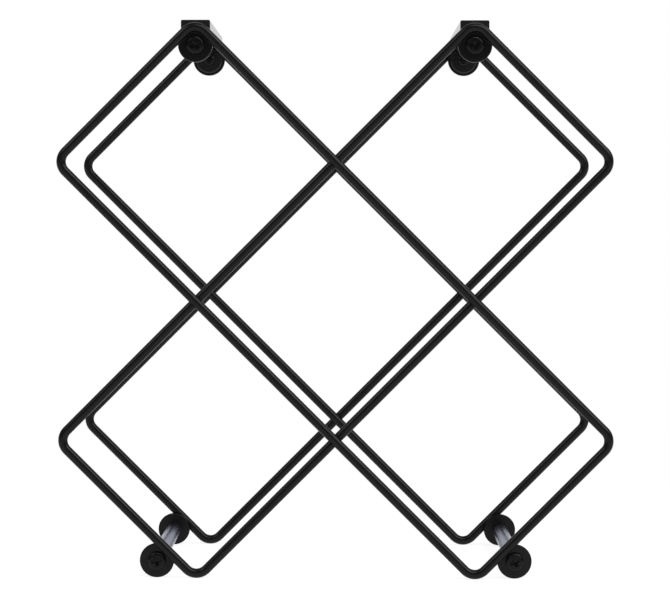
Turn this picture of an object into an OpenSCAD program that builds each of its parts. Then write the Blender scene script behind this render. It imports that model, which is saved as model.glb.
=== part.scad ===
// Counter-top wine rack. Two lattices of welded wire loops stand one behind the other.
// Folded rails join their top corners and spacer tubes join their feet.
// X runs across the front, +Y to the back and +Z up.
// The origin is on the floor, under the middle of the rack.

/* [Lattice] */
// Distance between the centre lines of neighbouring parallel wires, which is one bottle cell
cell_pitch = 99.4; // [80:0.2:130]
// Diameter of the coated wire
wire_d = 4.8; // [3.5:0.1:6]
// Radius of the wire's centre line at each bend
bend_r = 7.1; // [5:0.1:14]
// Depth of the rack over its wires
rack_depth = 150; // [90:1:300]
// How far two pieces sink into each other where they are welded
weld_sink = 0.5; // [0.1:0.1:0.8]
// Room left around a plate where the wire is flattened for it
weld_gap = 0.1; // [0.05:0.05:0.3]

/* [Plates] */
// Diameter of the round plates
plate_d = 17.4; // [16:0.1:22]
// Thickness of the round plates
plate_t = 2; // [1:0.1:4]
// How far a foot plate's rim passes the centre line of its wire
foot_lap = 1; // [0.2:0.1:1.6]
// How far a top plate's rim passes the centre lines of its wires
top_lap = 0.4; // [0.2:0.1:1.6]
// Room around a screw in its plate
plate_hole_gap = 0.25; // [0.1:0.05:0.5]

/* [Top rails] */
// Width of a rail's flat top and of its ears
rail_w = 14.7; // [10:0.1:16]
// Height of a rail's top over the wire bends
rail_rise = 1.5; // [0.2:0.1:4]
// Height of a rail's side flanges
rail_h = 6; // [4:0.5:10]
// Thickness of the sheet that a rail is folded from
rail_t = 1.5; // [1:0.1:2.5]
// Rounding of a rail's top edges
rail_edge_r = 0.8; // [0.2:0.1:1]
// Wall of the drawn collar around each tapped hole
collar_wall = 0.8; // [0.5:0.1:1.5]
// Height of that collar
collar_h = 1; // [0.5:0.1:2]

/* [Spacer tubes] */
// Outer diameter of the spacer tubes
tube_d = 8; // [6.5:0.1:12]
// Rounding of a tube's outer end edges
tube_edge_r = 0.4; // [0.1:0.1:0.8]

/* [Screws] */
// Diameter of the screws
screw_d = 4; // [3:0.1:5]
// Room between a screw and the hole it is threaded into
thread_gap = 0.05; // [0.02:0.01:0.1]
// Diameter of the screw heads
head_d = 9.2; // [7:0.1:10]
// Height of the screw heads
head_h = 2.8; // [2:0.1:4]
// Rounding of a screw head's shoulder
head_round = 1.5; // [0.4:0.1:1.8]
// Length of the screws that hold the rails
rail_screw_l = 5; // [4:0.5:12]
// Length of the screws that hold the tubes
tube_screw_l = 12; // [6:0.5:25]
// Span of the cross recess in a screw head
recess_span = 5.2; // [3:0.1:6]
// Width of each slot of the cross recess
recess_w = 1.2; // [0.6:0.1:1.4]
// Depth of the cross recess
recess_depth = 1.7; // [0.8:0.1:1.9]

/* [Hidden] */
$fn = 96;

front = -1;
rear = 1;
left = -1;
right = 1;
wire_r = wire_d / 2;
plate_r = plate_d / 2;
loop_l = 3 * cell_pitch;
loop_w = cell_pitch;
arm = cell_pitch / sqrt(2);
// how far a 45 degree corner drawn sharp stands out past its rounded wire
corner_trim = (sqrt(2) - 1) * bend_r - wire_r;
mid_z = 2 * arm - corner_trim;
low_corner_z = mid_z - 2 * arm;
high_corner_z = mid_z + 2 * arm;
wire_top_z = high_corner_z - corner_trim;
// distances of the two wire planes of a lattice from the middle of the rack
outer_y = rack_depth / 2 - wire_r;
inner_y = outer_y - wire_d + weld_sink;
// half the size of the flat that one welded wire leaves in the other
crossing_half = sqrt(pow(wire_r, 2) - pow(wire_r - weld_sink, 2));
top_z = high_corner_z - sqrt(2) * (plate_r - top_lap);
foot_z = plate_r;
foot_x = arm + foot_z - low_corner_z + sqrt(2) * (plate_r - foot_lap);
rail_top_z = wire_top_z + rail_rise;
tapped_r = screw_d / 2 + thread_gap;
plate_hole_r = screw_d / 2 + plate_hole_gap;
cut = 1;

// The left loop is outermost at the front and the right loop at the back.
function plane_y(end, side) = end * side > 0 ? outer_y : inner_y;
// distance from the middle of the rack to the plate face that meets the wire
function seat_y(end, side) = plane_y(end, side) - wire_r + weld_sink;
// distance from the middle of the rack to the plate face that meets a rail or tube
function inside_y(end, side) = seat_y(end, side) - plate_t;

// A solid of a flat outline drawn in X and Z, from y_from to y_to.
module along_y(y_from, y_to) {
    translate([0, y_to, 0]) rotate([90, 0, 0]) linear_extrude(y_to - y_from) children();
}

// One bent wire, lying in the X-Z plane with its long sides along X.
module wire_loop() {
    rotate([90, 0, 0]) {
        for (s = [-1, 1]) {
            translate([0, s * loop_w / 2, 0]) rotate([0, 90, 0])
                cylinder(h = loop_l - 2 * bend_r, r = wire_r, center = true);
            translate([s * loop_l / 2, 0, 0]) rotate([90, 0, 0])
                cylinder(h = loop_w - 2 * bend_r, r = wire_r, center = true);
        }
        for (quarter = [0 : 3]) {
            sx = quarter == 0 || quarter == 3 ? 1 : -1;
            sy = quarter < 2 ? 1 : -1;
            translate([sx * (loop_l / 2 - bend_r), sy * (loop_w / 2 - bend_r), 0])
                rotate([0, 0, 90 * quarter])
                rotate_extrude(angle = 90) translate([bend_r, 0]) circle(r = wire_r);
        }
    }
}

// A block that flattens a wire on the side that dir points to, where another wire is welded on.
module crossing_flat(dir) {
    translate([0, dir * (wire_r - weld_sink / 2 + cut / 2), 0])
        cube([2 * crossing_half, cut, 2 * crossing_half], center = true);
}

// A round block that flattens the wire where a plate is welded on.
module plate_flat(dir) {
    translate([0, dir * (wire_r - weld_sink + cut / 2), 0]) rotate([90, 0, 0])
        cylinder(h = cut, r = plate_r + weld_gap, center = true);
}

module loop(end, side) {
    outermost = end * side > 0;
    color([0.09, 0.09, 0.095]) translate([0, end * plane_y(end, side), mid_z]) difference() {
        rotate([0, -45 * side, 0]) wire_loop();
        for (turn = [0 : 90 : 270]) {
            rotate([0, turn, 0]) translate([arm, 0, 0]) rotate([0, 45, 0])
                crossing_flat(outermost ? -end : end);
        }
        translate([side * arm, 0, top_z - mid_z]) plate_flat(-end);
        translate([-side * foot_x, 0, foot_z - mid_z]) plate_flat(-end);
    }
}

// A round plate with its screw hole. wire_side is the side of the loop that it is welded to.
module plate(end, wire_side) {
    color([0.07, 0.07, 0.075])
        translate([0, end * (seat_y(end, wire_side) - plate_t / 2), 0]) rotate([90, 0, 0]) difference() {
            cylinder(h = plate_t, r = plate_r, center = true);
            cylinder(h = plate_t + cut, r = plate_hole_r, center = true);
        }
}

module top_plate(end, side) {
    translate([side * arm, 0, top_z]) plate(end, side);
}

module foot_plate(end, side) {
    translate([side * foot_x, 0, foot_z]) plate(end, -side);
}

// An upright rectangle on its bottom edge, centred on X, with rounded top corners.
module round_topped(w, h) {
    translate([-w / 2, 0]) square([w, h - rail_edge_r]);
    translate([-w / 2 + rail_edge_r, 0]) square([w - 2 * rail_edge_r, h]);
    for (s = [-1, 1]) {
        translate([s * (w / 2 - rail_edge_r), h - rail_edge_r]) circle(r = rail_edge_r);
    }
}

module rail_channel_outline() {
    difference() {
        translate([0, rail_top_z - rail_h]) round_topped(rail_w, rail_h);
        translate([-rail_w / 2 + rail_t, rail_top_z - rail_h - cut])
            square([rail_w - 2 * rail_t, rail_h - rail_t + cut]);
    }
}

module rail_ear_outline() {
    translate([0, top_z]) round_topped(rail_w, rail_top_z - top_z);
    translate([0, top_z]) circle(r = rail_w / 2);
}

module top_rail(side) {
    front_y = -inside_y(front, side);
    rear_y = inside_y(rear, side);
    ear_and_collar = rail_t + collar_h;
    color([0.09, 0.09, 0.095]) translate([side * arm, 0, 0]) difference() {
        union() {
            along_y(front_y, rear_y) rail_channel_outline();
            along_y(front_y, front_y + rail_t) rail_ear_outline();
            along_y(rear_y - rail_t, rear_y) rail_ear_outline();
            for (y = [front_y, rear_y - ear_and_collar]) {
                along_y(y, y + ear_and_collar) translate([0, top_z]) circle(r = tapped_r + collar_wall);
            }
        }
        along_y(front_y - cut, rear_y + cut) translate([0, top_z]) circle(r = tapped_r);
    }
}

// Half the section of a spacer tube, from its bore to its outside, ends rounded.
module tube_section(l) {
    wall = tube_d / 2 - tapped_r;
    translate([tapped_r, tube_edge_r]) square([wall, l - 2 * tube_edge_r]);
    translate([tapped_r, 0]) square([wall - tube_edge_r, l]);
    for (y = [tube_edge_r, l - tube_edge_r]) {
        translate([tube_d / 2 - tube_edge_r, y]) circle(r = tube_edge_r);
    }
}

module spacer_tube(side) {
    front_y = -inside_y(front, -side);
    rear_y = inside_y(rear, -side);
    color([0.7, 0.71, 0.74]) translate([side * foot_x, rear_y, foot_z]) rotate([90, 0, 0])
        rotate_extrude() tube_section(rear_y - front_y);
}

// Half the section of a pan head, flat on top with a round shoulder, top at the origin.
module pan_head_section() {
    square([head_d / 2 - head_round, head_h]);
    translate([0, head_round]) square([head_d / 2, head_h - head_round]);
    translate([head_d / 2 - head_round, head_round]) circle(r = head_round);
}

// A pan-head screw along Z, its head below the origin and its tip up.
module pan_screw(l) {
    color([0.05, 0.05, 0.055]) {
        difference() {
            translate([0, 0, -head_h]) rotate_extrude() pan_head_section();
            for (turn = [0, 90]) {
                rotate([0, 0, turn]) translate([0, 0, recess_depth / 2 - head_h - cut / 2])
                    cube([recess_span, recess_w, recess_depth + cut], center = true);
            }
        }
        cylinder(h = l, r = screw_d / 2);
    }
}

module top_screw(end, side) {
    translate([side * arm, end * seat_y(end, side), top_z]) rotate([90 * end, 0, 0])
        pan_screw(rail_screw_l);
}

module foot_screw(end, side) {
    translate([side * foot_x, end * seat_y(end, -side), foot_z]) rotate([90 * end, 0, 0])
        pan_screw(tube_screw_l);
}

loop(front, left);  // front_left_loop
loop(front, right);  // front_right_loop
loop(rear, left);  // rear_left_loop
loop(rear, right);  // rear_right_loop
top_plate(front, left);  // front_left_top_plate
top_plate(front, right);  // front_right_top_plate
top_plate(rear, left);  // rear_left_top_plate
top_plate(rear, right);  // rear_right_top_plate
foot_plate(front, left);  // front_left_foot_plate
foot_plate(front, right);  // front_right_foot_plate
foot_plate(rear, left);  // rear_left_foot_plate
foot_plate(rear, right);  // rear_right_foot_plate
top_rail(left);  // left_top_rail
top_rail(right);  // right_top_rail
spacer_tube(left);  // left_spacer_tube
spacer_tube(right);  // right_spacer_tube
top_screw(front, left);  // front_left_top_screw
top_screw(front, right);  // front_right_top_screw
top_screw(rear, left);  // rear_left_top_screw
top_screw(rear, right);  // rear_right_top_screw
foot_screw(front, left);  // front_left_foot_screw
foot_screw(front, right);  // front_right_foot_screw
foot_screw(rear, left);  // rear_left_foot_screw
foot_screw(rear, right);  // rear_right_foot_screw
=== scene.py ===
import math

import bpy
import numpy as np
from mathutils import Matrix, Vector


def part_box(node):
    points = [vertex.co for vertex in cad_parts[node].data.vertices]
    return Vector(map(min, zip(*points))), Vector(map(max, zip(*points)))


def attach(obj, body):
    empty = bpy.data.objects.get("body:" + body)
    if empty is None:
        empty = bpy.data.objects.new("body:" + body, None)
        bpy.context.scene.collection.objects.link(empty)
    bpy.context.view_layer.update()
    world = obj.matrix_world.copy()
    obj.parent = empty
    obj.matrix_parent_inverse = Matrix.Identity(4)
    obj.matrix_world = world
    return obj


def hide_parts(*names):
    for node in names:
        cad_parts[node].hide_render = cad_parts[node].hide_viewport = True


# Looks of a counter-top wine rack: black coated wire loops, plates, folded rails and
# screws, and two bright steel tubes. Everything is in metres: X across, +Y back, +Z up.
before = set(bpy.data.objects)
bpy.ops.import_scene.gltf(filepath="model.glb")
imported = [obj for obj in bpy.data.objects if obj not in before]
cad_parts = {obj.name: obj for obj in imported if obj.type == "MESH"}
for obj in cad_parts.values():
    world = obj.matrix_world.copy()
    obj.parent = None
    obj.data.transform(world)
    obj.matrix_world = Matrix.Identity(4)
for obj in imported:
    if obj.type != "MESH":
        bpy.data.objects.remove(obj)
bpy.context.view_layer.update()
ends = {"front": -1, "rear": 1}
sides = {"left": -1, "right": 1}
print("frame loaded:", len(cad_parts), "CAD nodes")


def gridFaces(rows, columns, closedRows):
    # quads between neighbouring rows and columns; columns always wrap round
    r = np.arange(rows if closedRows else rows - 1)
    r, c = np.meshgrid(r, np.arange(columns), indexing="ij")
    nextRow, nextColumn = (r + 1) % rows, (c + 1) % columns
    corners = [r * columns + c, r * columns + nextColumn,
               nextRow * columns + nextColumn, nextRow * columns + c]
    return np.stack(corners, -1).reshape(-1, 4)


def closedShell(grid, closedRows=False):
    # a closed shell from a grid of points: rows of closed rings, end rows capped flat;
    # the sum of a . (b x c) over the faces is its volume, and its sign tells which way they face
    rows, columns = grid.shape[:2]
    points = grid.reshape(-1, 3)
    faces = gridFaces(rows, columns, closedRows)
    a, b, c, d = (points[faces[:, k]] for k in range(4))
    volume = np.einsum("ij,ij->i", a, np.cross(b, c)).sum()
    volume += np.einsum("ij,ij->i", a, np.cross(c, d)).sum()
    caps = []
    if not closedRows:
        for ring, way in ((points[:columns], -1), (points[-columns:], 1)):
            middle = ring.mean(0)
            spread = np.cross(ring - middle, np.roll(ring, -1, 0) - middle).sum(0)
            volume += way * (middle @ spread)
        caps = [np.arange(columns)[::-1], np.arange(columns) + (rows - 1) * columns]
    polygons = faces.tolist() + [cap.tolist() for cap in caps]
    if volume < 0:
        polygons = [face[::-1] for face in polygons]
    return points, polygons


shading = {
    "sharpAngle": 35,        # degrees between two faces from which their edge shows
    "flatWeight": 100,       # how far a large flat face rules the shading at its rounded edges
}


def makePiece(name, shells, material, node, hasFlats=True):
    # one mesh of several closed shells, riding on the rack and standing for its CAD node; on
    # a piece with large flat faces a modifier keeps their shading even up to the rounded edges
    points, polygons, start = [], [], 0
    for shellPoints, shellPolygons in shells:
        points.append(shellPoints)
        polygons += [[start + k for k in face] for face in shellPolygons]
        start += len(shellPoints)
    mesh = bpy.data.meshes.new(name)
    mesh.from_pydata(np.concatenate(points), [], polygons)
    mesh.shade_smooth()
    mesh.set_sharp_from_angle(angle=math.radians(shading["sharpAngle"]))
    mesh.materials.append(material)
    piece = bpy.data.objects.new(name, mesh)
    bpy.context.scene.collection.objects.link(piece)
    if hasFlats:
        flatter = piece.modifiers.new("largeFacesStayFlat", "WEIGHTED_NORMAL")
        flatter.keep_sharp = True
        flatter.weight = shading["flatWeight"]
    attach(piece, "root")
    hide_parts(node)


def turned(profile, count):
    # a profile of (radius, height) carried once round the height axis
    angle = np.linspace(0, 2 * math.pi, count, endpoint=False)
    radius, height = profile[:, :1], profile[:, 1:]
    return np.stack([radius * np.cos(angle), radius * np.sin(angle),
                     np.broadcast_to(height, (len(profile), count))], -1)


def standing(grid, x, y, z, way=1):
    # lays a shape made along its third axis down along way * Y, from (x, y, z)
    return np.stack([x - way * grid[..., 0], y + way * grid[..., 2], z + grid[..., 1]], -1)


def arcPoints(centre, radius, fromDegrees, toDegrees, count):
    angle = np.radians(np.linspace(fromDegrees, toDegrees, count))
    return np.stack([centre[0] + radius * np.cos(angle), centre[1] + radius * np.sin(angle)], -1)


def newMaterial(name):
    material = bpy.data.materials.new(name)
    material.use_nodes = True
    nodes = material.node_tree.nodes
    return material, nodes, material.node_tree.links, nodes["Principled BSDF"]


def noiseNode(nodes, links, source, scale, detail, stretch=None):
    noise = nodes.new("ShaderNodeTexNoise")
    noise.inputs["Scale"].default_value = scale
    noise.inputs["Detail"].default_value = detail
    vector = source
    if stretch:
        mapping = nodes.new("ShaderNodeMapping")
        mapping.inputs["Scale"].default_value = stretch
        links.new(source, mapping.inputs["Vector"])
        vector = mapping.outputs["Vector"]
    links.new(vector, noise.inputs["Vector"])
    return noise.outputs["Fac"]


def rangeNode(nodes, links, source, low, high, fromLow=0.3, fromHigh=0.7):
    node = nodes.new("ShaderNodeMapRange")
    limits = {"From Min": fromLow, "From Max": fromHigh, "To Min": low, "To Max": high}
    for label, value in limits.items():
        node.inputs[label].default_value = value
    links.new(source, node.inputs["Value"])
    return node.outputs["Result"]


def colourMix(nodes, links, factor, first, second):
    ramp = nodes.new("ShaderNodeValToRGB")
    ramp.color_ramp.elements[0].color = (*first, 1)
    ramp.color_ramp.elements[1].color = (*second, 1)
    links.new(factor, ramp.inputs["Fac"])
    return ramp.outputs["Color"]


def addBump(nodes, links, shader, height, distance):
    bump = nodes.new("ShaderNodeBump")
    bump.inputs["Distance"].default_value = distance
    links.new(height, bump.inputs["Height"])
    links.new(bump.outputs["Normal"], shader.inputs["Normal"])


coat = {
    "wireDark": (0.0030, 0.0030, 0.0031),     # colour in the hollows of the coat
    "wireLight": (0.0056, 0.0056, 0.0057),    # colour on its raised grains
    "wireRoughness": (0.20, 0.30),
    "wireSpecular": 0.16,
    "wirePeel": 0.000008,                     # depth of the coat's orange peel
    "sheetDark": (0.0075, 0.0075, 0.0077),    # the folded rails are smoother and glossier; their colour, lighter than the wires' coat, is painted light: a lit copy of the same black coat
    "sheetLight": (0.0115, 0.0115, 0.0117),
    "sheetRoughness": (0.11, 0.18),
    "sheetSpecular": 0.28,
    "sheetPeel": 0.000002,
    "peelScale": 700,                         # waves of the orange peel per metre
    "grainScale": 4200,
}


def blackPowderCoat(kind):
    # kind is wire, for the loops and their plates, or sheet, for the rails, whose lighter colour is
    # painted light
    material, nodes, links, shader = newMaterial(f"blackPowderCoat{kind.title()}")
    place = nodes.new("ShaderNodeTexCoord").outputs["Object"]
    peel = noiseNode(nodes, links, place, coat["peelScale"], 2)
    grain = noiseNode(nodes, links, place, coat["grainScale"], 3)
    links.new(colourMix(nodes, links, grain, coat[f"{kind}Dark"], coat[f"{kind}Light"]),
              shader.inputs["Base Color"])
    links.new(rangeNode(nodes, links, grain, *coat[f"{kind}Roughness"]), shader.inputs["Roughness"])
    shader.inputs["Specular IOR Level"].default_value = coat[f"{kind}Specular"]
    addBump(nodes, links, shader, peel, coat[f"{kind}Peel"])
    return material


screwFinish = {
    "dark": (0.0025, 0.0025, 0.0026),
    "light": (0.0050, 0.0050, 0.0052),
    "roughness": (0.17, 0.26),
    "specular": 0.14,
    "markScale": 1600,
    "markDepth": 0.000002,
}


def blackScrewFinish():
    material, nodes, links, shader = newMaterial("blackScrewFinish")
    place = nodes.new("ShaderNodeTexCoord").outputs["Object"]
    marks = noiseNode(nodes, links, place, screwFinish["markScale"], 4)
    links.new(colourMix(nodes, links, marks, screwFinish["dark"], screwFinish["light"]),
              shader.inputs["Base Color"])
    links.new(rangeNode(nodes, links, marks, *screwFinish["roughness"]), shader.inputs["Roughness"])
    shader.inputs["Specular IOR Level"].default_value = screwFinish["specular"]
    addBump(nodes, links, shader, marks, screwFinish["markDepth"])
    return material


steel = {
    "dark": (0.44, 0.45, 0.50),
    "light": (0.54, 0.55, 0.61),
    "edgeTint": (0.42, 0.43, 0.49),      # how much of the light it gives back at a flat angle
    "roughness": (0.16, 0.21),
    "cloudScale": 130,
    "drawScale": 1500,                   # lines per metre round the tube
    "drawStretch": (1, 0.01, 1),         # the lines run along Y, the way the tube was drawn
    "drawDepth": 0.00000018,
}


def brightSteel():
    material, nodes, links, shader = newMaterial("brightSteel")
    place = nodes.new("ShaderNodeTexCoord").outputs["Object"]
    lines = noiseNode(nodes, links, place, steel["drawScale"], 3, steel["drawStretch"])
    clouds = noiseNode(nodes, links, place, steel["cloudScale"], 3)
    links.new(colourMix(nodes, links, clouds, steel["dark"], steel["light"]), shader.inputs["Base Color"])
    links.new(rangeNode(nodes, links, lines, *steel["roughness"]), shader.inputs["Roughness"])
    shader.inputs["Metallic"].default_value = 1.0
    shader.inputs["Specular Tint"].default_value = (*steel["edgeTint"], 1)
    addBump(nodes, links, shader, lines, steel["drawDepth"])
    return material


coatMaterial = blackPowderCoat("wire")
sheetMaterial = blackPowderCoat("sheet")
screwMaterial = blackScrewFinish()
steelMaterial = brightSteel()
print("materials made")

wire = {
    "bendRadius": 0.0071,    # of the centre line
    "around": 40,            # points round the wire
    "step": 0.0006,          # distance between rings on the straights
    "bendSteps": 25,         # rings in each bend
    "plateRoom": 0.0001,     # room left round a plate where the wire is flat
    "fillet": 0.0006,        # radius of the coat in the corner between wire and plate
    "filletSteps": 7,
    "filletHeart": (0.75, 0.35),  # the fillet's hidden back, in wire radii out and up
    "filletSink": 0.1,       # how far it runs into the plate, in wire radii
    "filletEnd": 0.3,        # how far it stops short of the plate's rim, in fillet radii
    "weldAround": 48,        # points round the weld at a crossing
    "weldSteps": 9,          # rings between its two wires
    "weldTries": 400,        # radii tried on the way out to its edge
    "weldGap": 0.0009,       # widest gap that it fills
    "weldWaist": 0.13,       # how much it narrows half way
    "weldSink": 0.05,        # how far it runs into each wire, in wire radii
}


def loopFacts(end, side):
    # size and place of a loop, from its CAD box: a 3 x 1 rectangle of wire turned 45 degrees
    low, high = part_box(f"{end}_{side}_loop")
    radius = (high.y - low.y) / 2
    reach = (high.x - low.x) / 2
    arm = (reach + (math.sqrt(2) - 1) * wire["bendRadius"] - radius) / 2
    return {"radius": radius, "arm": arm, "pitch": arm * math.sqrt(2),
            "middleZ": (low.z + high.z) / 2, "y": (low.y + high.y) / 2}


def roundedRectangle(halfLength, halfWidth, bend):
    # centre line and outward normal of a rounded rectangle: four quarter arcs about the
    # corner centres, joined by evenly stepped straights
    places, normals = [], []
    signs = ((1, 1), (-1, 1), (-1, -1), (1, -1))
    for quarter, (sx, sy) in enumerate(signs):
        angle = np.radians(np.linspace(90 * quarter, 90 * quarter + 90, wire["bendSteps"]))
        out = np.stack([np.cos(angle), np.sin(angle)], -1)
        centre = np.array([sx * (halfLength - bend), sy * (halfWidth - bend)])
        tx, ty = signs[(quarter + 1) % 4]
        following = np.array([tx * (halfLength - bend), ty * (halfWidth - bend)])
        count = int(np.linalg.norm(following - centre) / wire["step"])
        share = np.linspace(0, 1, count + 1)[1:-1, None]
        places += [centre + bend * out, centre + bend * out[-1] + share * (following - centre)]
        normals += [out, np.repeat(out[-1:], len(share), 0)]
    return np.concatenate(places), np.concatenate(normals)


def turnedPlane(points, degrees):
    c, s = math.cos(math.radians(degrees)), math.sin(math.radians(degrees))
    return np.stack([points[:, 0] * c - points[:, 1] * s, points[:, 0] * s + points[:, 1] * c], -1)


def plateFilletShell(places, normals, facts, seat, toPlate):
    # the coat in the corner between a wire and its plate: a hollow arc that touches the
    # plate's face and the round of the wire, carried along the wire as far as the plate goes,
    # on the side where the plate's middle lies
    r, f, face = facts["radius"], wire["fillet"], seat["faceDistance"]
    across = math.sqrt((r + f) ** 2 - (face - f) ** 2)
    toWire = math.degrees(math.atan2(face - f, across))
    arc = arcPoints((across, face - f), f, 90, 180 + toWire, wire["filletSteps"])
    heartOut, heartUp = (share * r for share in wire["filletHeart"])
    back = [[heartOut, heartUp], [heartOut, face + wire["filletSink"] * r]]
    section = np.concatenate([arc, back])
    middle = int(np.argmin(np.linalg.norm(places - seat["centre"], axis=1)))
    toCentre = normals * np.sign((seat["centre"] - places[middle]) @ normals[middle])
    reach = np.linalg.norm(places + toCentre * across - seat["centre"], axis=1)
    inside = reach < seat["radius"] - wire["filletEnd"] * f
    shift = len(places) // 2 - middle
    keep = np.roll(inside, shift)
    p, n = np.roll(places, shift, 0)[keep], np.roll(toCentre, shift, 0)[keep]
    xz = section[None, :, :1] * n[:, None, :] + p[:, None, :]
    y = facts["y"] + toPlate * np.broadcast_to(section[:, 1], xz.shape[:2])
    return closedShell(np.stack([xz[..., 0], y, xz[..., 1]], -1))


def crossingWeldShell(x, z, facts, otherY, degrees):
    # the weld between two wires that cross square: a waisted collar whose edge follows
    # the line where the gap between the two rounds has the given width
    r = facts["radius"]
    middleY, half = (facts["y"] + otherY) / 2, abs(facts["y"] - otherY) / 2
    angle = np.linspace(0, 2 * math.pi, wire["weldAround"], endpoint=False)
    reach = np.linspace(0, r, wire["weldTries"])[:, None]
    u, v = reach * np.cos(angle), reach * np.sin(angle)
    gap = 2 * half - np.sqrt(np.maximum(r * r - u * u, 0)) - np.sqrt(np.maximum(r * r - v * v, 0))
    edge = reach[np.argmax(gap > wire["weldGap"], axis=0), 0]
    level = np.linspace(-1, 1, wire["weldSteps"])[:, None]
    radius = edge * (1 - wire["weldWaist"] * (1 - level ** 2))
    u, v = radius * np.cos(angle), radius * np.sin(angle)
    toWire = half - np.sqrt(r * r - np.where(level > 0, v, u) ** 2) + wire["weldSink"] * r
    height = level * toWire
    c, s = math.cos(math.radians(degrees)), math.sin(math.radians(degrees))
    way = 1 if facts["y"] > otherY else -1
    return closedShell(np.stack([x + u * c - v * s,
                                 middleY + way * height,
                                 z + u * s + v * c], -1))


def makeLoop(end, side):
    # the wire is a circle carried along the rounded rectangle; it is pressed flat to the
    # middle plane at each crossing and to the plates' faces
    facts = loopFacts(end, side)
    otherSide = "right" if side == "left" else "left"
    other = loopFacts(end, otherSide)
    inwards = -ends[end]                                 # the plates lie on this side of the wire
    halfCell = facts["pitch"] / 2                        # the loop is three cells long and one wide
    places, normals = roundedRectangle(3 * halfCell, halfCell, wire["bendRadius"])
    places = turnedPlane(places, 45 * sides[side]) + [0, facts["middleZ"]]
    normals = turnedPlane(normals, 45 * sides[side])
    angle = np.linspace(0, 2 * math.pi, wire["around"], endpoint=False)
    out = facts["radius"] * np.cos(angle)[None, :, None] * normals[:, None, :] + places[:, None, :]
    x, z = out[..., 0], out[..., 1]
    y = np.broadcast_to(facts["radius"] * np.sin(angle), x.shape)
    toOther = np.sign(other["y"] - facts["y"])
    gapHalf = abs(other["y"] - facts["y"]) / 2
    flatHalf = math.sqrt(facts["radius"] ** 2 - (2 * gapHalf - facts["radius"]) ** 2)
    crossings = [(facts["arm"], 0), (0, facts["arm"]), (-facts["arm"], 0), (0, -facts["arm"])]
    for cx, cz in crossings:
        dx, dz = x - cx, z - facts["middleZ"] - cz
        near = np.maximum(abs(dx + dz), abs(dx - dz)) / math.sqrt(2) < flatHalf
        y = np.where(near & (y * toOther > gapHalf), toOther * gapHalf, y)
    fillets = []
    for plateName in (f"{end}_{side}_top_plate", f"{end}_{otherSide}_foot_plate"):
        low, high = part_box(plateName)
        face = low.y if abs(low.y) > abs(high.y) else high.y
        seat = {"centre": np.array([(low.x + high.x) / 2, (low.z + high.z) / 2]),
                "radius": (high.x - low.x) / 2, "faceDistance": abs(face - facts["y"])}
        near = np.hypot(x - seat["centre"][0], z - seat["centre"][1]) < seat["radius"] + wire["plateRoom"]
        y = np.where(near & (y * inwards > seat["faceDistance"]), inwards * seat["faceDistance"], y)
        fillets.append(plateFilletShell(places, normals, facts, seat, inwards))
    shells = [closedShell(np.stack([x, y + facts["y"], z], -1), closedRows=True), *fillets]
    if side == "left":                                   # the four welds between the two loops
        shells += [crossingWeldShell(cx, cz + facts["middleZ"], facts, other["y"], -45)
                   for cx, cz in crossings]
    makePiece(f"{end}{side.title()}Loop", shells, coatMaterial,
              f"{end}_{side}_loop", hasFlats=False)


for end in ends:
    for side in sides:
        makeLoop(end, side)
print("wire loops made")

plate = {
    "edge": 0.0006,          # rounding of the outer edges
    "edgeSteps": 7,          # points along that rounding
    "holeRadius": 0.00225,
    "around": 160,
}


def makePlate(end, side, level):
    # a flat ring: its section, with two quarter-round outer edges, turned round Y
    node = f"{end}_{side}_{level}_plate"
    low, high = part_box(node)
    outer, half = (high.x - low.x) / 2, (high.y - low.y) / 2
    e, steps = plate["edge"], plate["edgeSteps"]
    profile = np.concatenate([
        [[plate["holeRadius"], half], [plate["holeRadius"], -half]],
        arcPoints((outer - e, e - half), e, -90, 0, steps),
        arcPoints((outer - e, half - e), e, 0, 90, steps),
    ])
    grid = standing(turned(profile, plate["around"]), (low.x + high.x) / 2,
                    (low.y + high.y) / 2, (low.z + high.z) / 2)
    makePiece(f"{end}{side.title()}{level.title()}Plate", [closedShell(grid, closedRows=True)],
              coatMaterial, node)


for end in ends:
    for side in sides:
        for level in ("top", "foot"):
            makePlate(end, side, level)
print("plates made")

rail = {
    "sheet": 0.0015,         # thickness of the metal
    "flange": 0.006,         # height of the side flanges
    "topEdge": 0.0008,       # rounding of the top edges
    "innerBend": 0.0006,     # and of the bends inside the channel
    "edgeSteps": 7,          # points along each of the two
    "rim": 0.0004,           # rounding of the ears' rims, against the plates
    "innerRim": 0.0007,      # and on the side of the channel
    "rimSteps": 6,
    "seamShare": 0.03,       # share of that rounding left where an ear meets the channel
    "rimGrowth": 0.001,      # height below the flanges over which it grows to the whole
    "sideSteps": 6,          # points down each straight side of an ear
    "roundSteps": 41,        # and along the half round below
    "lap": 0.00001,          # how far the channel reaches into the ears
    "lip": 0.0004,           # rounding of the flanges' lower edges
    "lipSteps": 5,
    "tappedRadius": 0.00205,
    "collarRadius": 0.00285,
    "collarHeight": 0.001,
    "collarEdge": 0.0003,
    "collarEdgeSteps": 5,
    "collarSink": 0.00015,   # how far the collar starts inside the metal
    "collarAround": 64,
}


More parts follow.
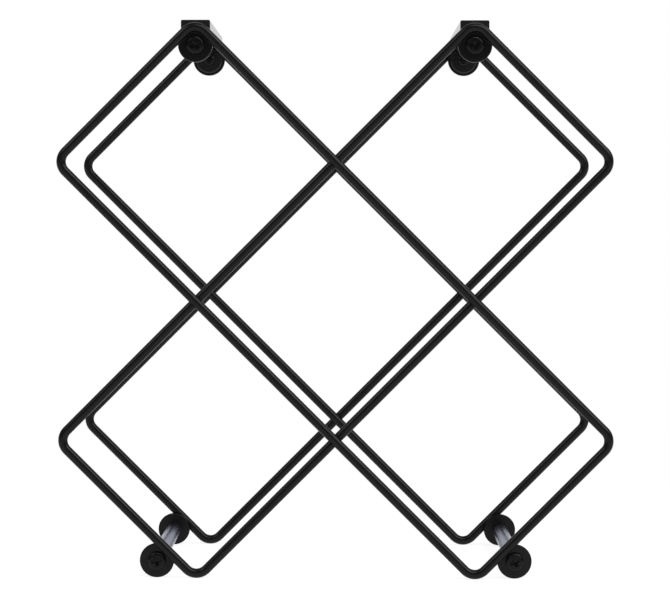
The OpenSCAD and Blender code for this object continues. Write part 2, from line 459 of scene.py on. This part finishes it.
def roundedPrism(outline, yFrom, yTo, rim, farRim=0):
    # an outline carried along Y: at its first end the outline draws in along its own inward
    # normals by rim * (1 - cos) while Y moves by rim * (1 - sin), and so it does at its far
    # end by farRim, which may differ from point to point
    along = np.roll(outline, -1, 0) - np.roll(outline, 1, 0)
    inward = np.stack([-along[:, 1], along[:, 0]], -1)
    inward /= np.linalg.norm(inward, axis=1, keepdims=True)
    if np.einsum("ij,ij->", inward, outline - outline.mean(0)) > 0:
        inward = -inward
    way = np.sign(yTo - yFrom)
    turn = np.linspace(math.pi / 2, 0, rail["rimSteps"])[:, None]
    back = turn[::-1]
    near, far = (np.broadcast_to(r, len(outline)) for r in (rim, farRim))
    inset = np.concatenate([near * (1 - np.cos(turn)), far * (1 - np.cos(back))])
    y = np.concatenate([yFrom + way * near * (1 - np.sin(turn)), yTo - way * far * (1 - np.sin(back))])
    if inset.max() == 0:                                 # square ends need no rings between
        inset, y = inset[[0, -1]], y[[0, -1]]
    rows = outline + inward * inset[..., None]
    return closedShell(np.insert(rows, 1, y, axis=2))


def makeRail(side):
    # a folded channel between two ears: each ear's outline is square on top and half round below
    node = f"{side}_top_rail"
    low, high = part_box(node)
    x, half, top = (low.x + high.x) / 2, (high.x - low.x) / 2, high.z
    earZ, t, e = low.z + half, rail["sheet"], rail["topEdge"]
    steps, lipSteps = rail["edgeSteps"], rail["lipSteps"]
    upper = np.concatenate([arcPoints((half - e, top - e), e, 0, 90, steps),
                            arcPoints((e - half, top - e), e, 90, 180, steps)])
    sideZ = np.linspace(top - 2 * e, earZ, rail["sideSteps"])
    ear = np.concatenate([
        upper,
        np.stack([np.full(len(sideZ), -half), sideZ], -1),
        arcPoints((0, earZ), half, 180, 360, rail["roundSteps"])[1:-1],
        np.stack([np.full(len(sideZ), half), sideZ[::-1]], -1),
    ]) + [x, 0]
    b, lip, lipZ = rail["innerBend"], rail["lip"], top - rail["flange"] + rail["lip"]
    leftHalf = np.concatenate([
        arcPoints((lip - half, lipZ), lip, 180, 270, lipSteps),
        arcPoints((t - lip - half, lipZ), lip, 270, 360, lipSteps),
        arcPoints((t + b - half, top - t - b), b, 180, 90, steps),
    ])
    channel = np.concatenate([upper, leftHalf, leftHalf[::-1] * [-1, 1]]) + [x, 0]
    belowFlange = top - rail["flange"] - ear[:, 1]
    innerRim = rail["innerRim"] * np.clip(belowFlange / rail["rimGrowth"], rail["seamShare"], 1)
    shells = [
        roundedPrism(ear, low.y, low.y + t, rail["rim"], innerRim),
        roundedPrism(ear, high.y, high.y - t, rail["rim"], innerRim),
        roundedPrism(channel, low.y + t - rail["lap"], high.y - t + rail["lap"], 0),
    ]
    bore, radius, height = rail["tappedRadius"], rail["collarRadius"], rail["collarHeight"]
    c, root, cSteps = rail["collarEdge"], -rail["collarSink"], rail["collarEdgeSteps"]
    profile = np.concatenate([
        [[bore, root], [radius, root]],
        arcPoints((radius - c, height - c), c, 0, 90, cSteps),
        arcPoints((bore + c, height - c), c, 90, 180, cSteps),
    ])
    collar = turned(profile, rail["collarAround"])
    for y, way in ((low.y + t, 1), (high.y - t, -1)):
        shells.append(closedShell(standing(collar, x, y, earZ, way), closedRows=True))
    makePiece(f"{side}TopRail", shells, sheetMaterial, node)


for side in sides:
    makeRail(side)
print("rails made")

tube = {
    "bore": 0.00205,         # radius of the tapped bore
    "edge": 0.0004,          # rounding of the outer end edges
    "edgeSteps": 7,
    "boreEdge": 0.0002,
    "boreEdgeSteps": 4,
    "around": 96,
}


def makeTube(side):
    # half the section of the wall, from the bore to the outside, turned round Y
    node = f"{side}_spacer_tube"
    low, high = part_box(node)
    r, length = (high.x - low.x) / 2, high.y - low.y
    e, b, steps, boreSteps = (tube[key] for key in ("edge", "boreEdge", "edgeSteps", "boreEdgeSteps"))
    profile = np.concatenate([
        arcPoints((tube["bore"] + b, b), b, 180, 270, boreSteps),
        arcPoints((r - e, e), e, 270, 360, steps),
        arcPoints((r - e, length - e), e, 0, 90, steps),
        arcPoints((tube["bore"] + b, length - b), b, 90, 180, boreSteps),
    ])
    grid = standing(turned(profile, tube["around"]), (low.x + high.x) / 2, low.y, (low.z + high.z) / 2)
    makePiece(f"{side}SpacerTube", [closedShell(grid, closedRows=True)],
              steelMaterial, node)


for side in sides:
    makeTube(side)
print("tubes made")

screw = {
    "shaft": 0.002,          # outer radius of the thread
    "pitch": 0.0007,
    "threadDepth": 0.00022,
    "taper": 0.0005,         # how much the tip narrows
    "shaftStart": 0.0002,    # how far the shaft starts inside the head
    "shaftRings": 10,        # rings along one pitch of the thread
    "shaftAround": 48,
    "headHeight": 0.0028,
    "shoulder": 0.0015,      # rounding between the head's face and its upright edge
    "shoulderStart": 84,     # degrees on that rounding where its first ring lies
    "shoulderRings": 14,
    "crown": 0.00008,        # how far the middle of the face stands out
    "footEdge": 0.0001,
    "underRadius": 0.0018,   # where the underside ends, inside the shaft
    "recessSpan": 0.0052,
    "recessWidth": 0.0014,
    "recessDepth": 0.0016,
    "recessWall": 0.00016,   # run of the recess's sloping walls
    "recessRise": 0.25,      # how much shallower the recess is at its arms' ends
    "poleRadius": 0.00003,   # of the smallest ring, which closes the face
    "faceRings": 58,
    "around": 192,
    # how far each cross recess stands turned, in degrees
    "turns": {"front_left_top": 38, "front_right_top": 12, "front_left_foot": 12, "front_right_foot": 26,
              "rear_left_top": 52, "rear_right_top": 33, "rear_left_foot": 71, "rear_right_foot": 40},
}


def headGrid(radius, turnDegrees):
    # the head's section is a slightly crowned face, a quarter-round shoulder and an upright
    # edge; the cross recess is the product of the two cross axes over the radius, so that its
    # inner corners are round, and is sunk by the distance inside it, divided by the run of its
    # walls, down to a floor that rises outwards
    h, crown, s, e = (screw[key] for key in ("headHeight", "crown", "shoulder", "footEdge"))
    r = np.linspace(screw["poleRadius"], radius - s, screw["faceRings"])
    face = np.stack([r, h - crown * (r / r[-1]) ** 2], -1)
    profile = np.concatenate([
        face,
        arcPoints((radius - s, h - crown - s), s, screw["shoulderStart"], 0, screw["shoulderRings"]),
        [[radius, e], [radius - e, 0], [screw["underRadius"], 0]],
    ])
    grid = turned(profile, screw["around"])
    angle = math.radians(turnDegrees)
    u = grid[..., 0] * math.cos(angle) + grid[..., 1] * math.sin(angle)
    v = grid[..., 1] * math.cos(angle) - grid[..., 0] * math.sin(angle)
    along, across = np.maximum(abs(u), abs(v)), abs(u * v) / np.hypot(u, v)
    span = screw["recessSpan"] / 2
    inside = np.minimum(screw["recessWidth"] / 2 - across, span - along)
    floor = screw["recessDepth"] * (1 - screw["recessRise"] * along / span)
    sink = np.clip(inside / screw["recessWall"], 0, 1) * floor
    grid[:len(face), :, 2] -= sink[:len(face)]
    return grid


def shaftGrid(length):
    # a thread: the radius falls from crest to root by a triangle wave of height over pitch
    # less turn, so that the ridge climbs one pitch a turn, and it tapers off at the tip
    rings = int(length / screw["pitch"] * screw["shaftRings"])
    z = np.linspace(screw["shaftStart"], -length, rings)[:, None]
    angle = np.linspace(0, 2 * math.pi, screw["shaftAround"], endpoint=False)
    phase = (z / screw["pitch"] - angle / (2 * math.pi)) % 1.0
    r = screw["shaft"] - screw["threadDepth"] * (1 - abs(2 * phase - 1))
    r = np.minimum(r, screw["shaft"] - screw["taper"] + z + length)
    return np.stack([r * np.cos(angle), r * np.sin(angle), np.broadcast_to(z, r.shape)], -1)


def makeScrew(end, side, level):
    node = f"{end}_{side}_{level}_screw"
    low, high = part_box(node)
    x, z, way = (low.x + high.x) / 2, (low.z + high.z) / 2, ends[end]
    outer = low.y if way < 0 else high.y
    seat = outer - way * screw["headHeight"]             # the plate's face, under the head
    length = (high.y - low.y) - screw["headHeight"]
    head = headGrid((high.x - low.x) / 2, screw["turns"][f"{end}_{side}_{level}"])
    shells = [closedShell(standing(head, x, seat, z, way)),
              closedShell(standing(shaftGrid(length), x, seat, z, way))]
    makePiece(f"{end}{side.title()}{level.title()}Screw", shells,
              screwMaterial, node)


for end in ends:
    for side in sides:
        for level in ("top", "foot"):
            makeScrew(end, side, level)
print("screws made")

stageLook = {
    "floorSize": 8.0,
    "floorColour": (0.9, 0.9, 0.9),
    "floorRoughness": 0.9,
    "shadowShare": 0.22,         # how much of the shadow is seen
    "shadowReach": (0.22, 0.6),  # distances from the middle over which it fades out
    "openLevel": 0.8,            # brightness of the bare floor where nothing shades it
}


def backgroundRays(nodes, links):
    # 1 for the rays that may see the white background itself: camera, mirrored, through glass
    path = nodes.new("ShaderNodeLightPath")
    most = path.outputs["Is Camera Ray"]
    for label in ("Is Glossy Ray", "Is Transmission Ray"):
        pick = nodes.new("ShaderNodeMath")
        pick.operation = "MAXIMUM"
        links.new(most, pick.inputs[0])
        links.new(path.outputs[label], pick.inputs[1])
        most = pick.outputs[0]
    return most


def makeFloor():
    # background rays see white less share * (open level - real level); the share falls
    # from its full value to nothing with the distance from the middle of the floor
    half = stageLook["floorSize"] / 2
    mesh = bpy.data.meshes.new("floor")
    corners = [(-half, -half, 0), (half, -half, 0), (half, half, 0), (-half, half, 0)]
    mesh.from_pydata(corners, [], [(0, 1, 2, 3)])
    floor = bpy.data.objects.new("floor", mesh)
    bpy.context.scene.collection.objects.link(floor)
    material, nodes, links, shader = newMaterial("paleFloor")
    shader.inputs["Base Color"].default_value = (*stageLook["floorColour"], 1)
    shader.inputs["Roughness"].default_value = stageLook["floorRoughness"]
    shader.inputs["Specular IOR Level"].default_value = 0.0
    distance = nodes.new("ShaderNodeVectorMath")
    distance.operation = "LENGTH"
    links.new(nodes.new("ShaderNodeTexCoord").outputs["Object"], distance.inputs[0])
    share = rangeNode(nodes, links, distance.outputs["Value"], stageLook["shadowShare"], 0,
                      *stageLook["shadowReach"])
    white = nodes.new("ShaderNodeMath")
    white.operation = "MULTIPLY_ADD"
    white.inputs[1].default_value = -stageLook["openLevel"]
    white.inputs[2].default_value = 1.0
    links.new(share, white.inputs[0])
    glow = nodes.new("ShaderNodeEmission")
    links.new(white.outputs[0], glow.inputs["Strength"])
    shaded = nodes.new("ShaderNodeBsdfDiffuse")
    links.new(share, shaded.inputs["Color"])
    seen = nodes.new("ShaderNodeAddShader")
    links.new(glow.outputs[0], seen.inputs[0])
    links.new(shaded.outputs[0], seen.inputs[1])
    mix = nodes.new("ShaderNodeMixShader")
    links.new(backgroundRays(nodes, links), mix.inputs["Fac"])
    links.new(shader.outputs["BSDF"], mix.inputs[1])
    links.new(seen.outputs[0], mix.inputs[2])
    links.new(mix.outputs["Shader"], nodes["Material Output"].inputs["Surface"])
    mesh.materials.append(material)


worldLook = {
    "fill": 0.6,             # soft light on the surfaces
    "dark": 0.12,            # what mirrored rays see on the near side
    "bright": 1.0,           # and behind the rack
    "turning": (0.2, 0.9),   # directions along Y between which dark turns bright
}


def makeWorld():
    # even fill for the surfaces; mirrored rays see a white backdrop and a dim near side;
    # inputs 2 and 3 of a Mix node are its two numbers
    world = bpy.data.worlds.new("studio")
    bpy.context.scene.world = world
    world.use_nodes = True
    nodes, links = world.node_tree.nodes, world.node_tree.links
    background = nodes["Background"]
    background.inputs["Color"].default_value = (1, 1, 1, 1)
    direction = nodes.new("ShaderNodeTexCoord").outputs["Generated"]
    split = nodes.new("ShaderNodeSeparateXYZ")
    links.new(direction, split.inputs[0])
    mirrored = rangeNode(nodes, links, split.outputs["Y"], worldLook["dark"], worldLook["bright"],
                         *worldLook["turning"])
    path = nodes.new("ShaderNodeLightPath")
    glossy = nodes.new("ShaderNodeMix")
    glossy.inputs[2].default_value = worldLook["fill"]
    links.new(path.outputs["Is Glossy Ray"], glossy.inputs[0])
    links.new(mirrored, glossy.inputs[3])
    seen = nodes.new("ShaderNodeMix")
    seen.inputs[3].default_value = 1.0
    links.new(path.outputs["Is Camera Ray"], seen.inputs[0])
    links.new(glossy.outputs[0], seen.inputs[2])
    links.new(seen.outputs[0], background.inputs["Strength"])


lamps = {
    # place, aim, size across, size up, power in watts
    "upperRight": ((0.92, -0.6, 1.06), (0, 0, 0.14), 1.0, 1.0, 13.0),
    "upperLeft": ((-0.92, -0.6, 1.06), (0, 0, 0.14), 1.0, 0.5, 4.5),
    "top": ((0.25, -0.75, 1.25), (0, 0, 0.14), 0.7, 0.5, 4.5),
}


def aimed(obj, place, target):
    # points the object's own -Z at the target
    back = np.array(place, float) - np.array(target, float)
    back /= np.linalg.norm(back)
    obj.location = place
    lean = math.atan2(math.hypot(back[0], back[1]), back[2])
    obj.rotation_euler = (lean, 0, math.atan2(back[0], -back[1]))


def makeLamps():
    for name, (place, target, across, up, power) in lamps.items():
        light = bpy.data.lights.new(name, "AREA")
        light.shape = "RECTANGLE"
        light.size, light.size_y = across, up
        light.energy = power
        lamp = bpy.data.objects.new(name, light)
        bpy.context.scene.collection.objects.link(lamp)
        aimed(lamp, place, target)


view = {
    "place": (0.0067, -1.4262, 0.1855),
    "turn": 0.29,            # degrees to the left of straight ahead
    "tilt": -1.89,           # degrees above level
    "lens": 144.85,
    "sensor": 36,
}


def makeCamera():
    data = bpy.data.cameras.new("camera")
    data.lens = view["lens"]
    data.sensor_width = view["sensor"]
    camera = bpy.data.objects.new("camera", data)
    bpy.context.scene.collection.objects.link(camera)
    camera.location = view["place"]
    camera.rotation_euler = (math.radians(90 + view["tilt"]), 0, math.radians(view["turn"]))
    bpy.context.scene.camera = camera


makeFloor()
makeWorld()
makeLamps()
makeCamera()
bpy.context.scene.view_settings.view_transform = "Standard"
print("floor, light and camera made")
